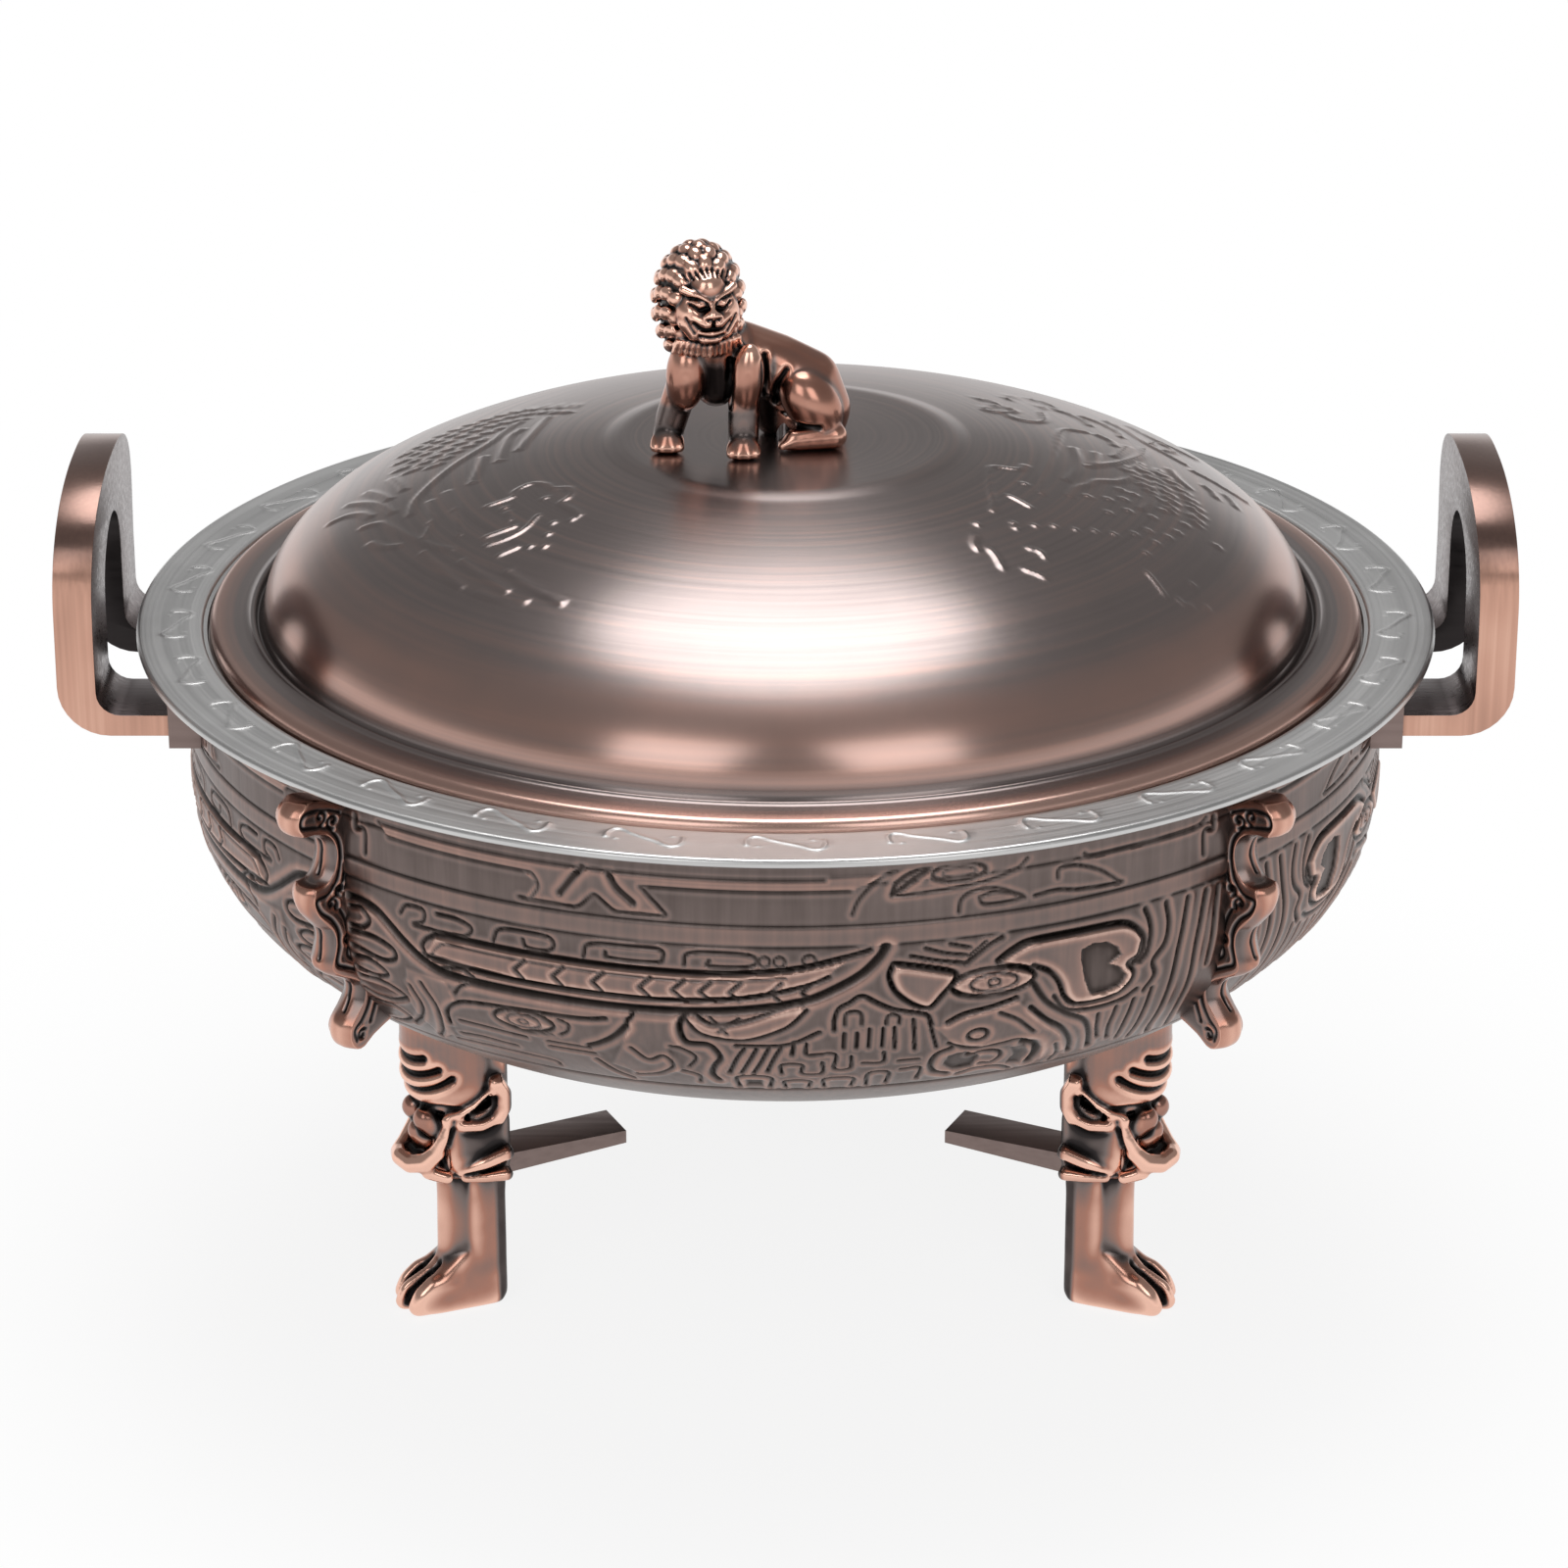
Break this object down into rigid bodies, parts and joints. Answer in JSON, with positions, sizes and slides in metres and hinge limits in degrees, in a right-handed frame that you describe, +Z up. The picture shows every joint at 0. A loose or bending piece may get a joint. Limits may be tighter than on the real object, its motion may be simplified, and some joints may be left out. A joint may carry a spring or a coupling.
{
  "type": "chafing dish",
  "caption": "Round chafing dish on mask legs, with a steel food pan, a lift-off dome lid with a lion knob, and bent handles.",
  "frame": {"origin": "on the table, under the middle of the bowl", "axes": "+X through the right handle, -Y towards the front where the lion looks, +Z up"},
  "size_m": [0.3692, 0.336, 0.2833],
  "materials": {
    "bowl_copper": "pressed steel with an antique copper finish, dark in its recesses",
    "lid_copper": "spun steel with a glossy, finely brushed antique copper finish",
    "cast_copper": "cast metal with a polished antique copper finish, black in its recesses",
    "handle_copper": "satin brushed antique copper",
    "steel": "satin stainless steel with a bright rolled edge",
    "screw_steel": "plain zinc-plated steel"
  },
  "bodies": {
    "stand": {"bowl": "bowl_copper", "fin_front_left": "cast_copper", "fin_front_right": "cast_copper", "fin_back_left": "cast_copper", "fin_back_right": "cast_copper", "fin_screws": "screw_steel", "handle_left": "handle_copper", "handle_right": "handle_copper", "handle_bracket_left": "bowl_copper", "handle_bracket_right": "bowl_copper", "handle_screws": "screw_steel", "leg_left": "cast_copper", "leg_right": "cast_copper", "leg_back": "cast_copper", "leg_screws": "screw_steel", "leg_washers": "screw_steel", "burner_arm_left": "bowl_copper", "burner_arm_right": "bowl_copper", "burner_arm_back": "bowl_copper", "arm_studs": "screw_steel"},
    "pan": {"food_pan": "steel"},
    "lid": {"lid": "lid_copper", "lion_finial": "cast_copper", "finial_screw": "screw_steel", "finial_washer": "screw_steel"}
  },
  "joints": [
    {"name": "pan_lift", "type": "slide", "parent": "stand", "child": "pan", "axis": [0, 0, 1], "range_m": [0, 0.115]},
    {"name": "lid_lift", "type": "slide", "parent": "pan", "child": "lid", "axis": [0, 0, 1], "range_m": [0, 0.06]}
  ]
}
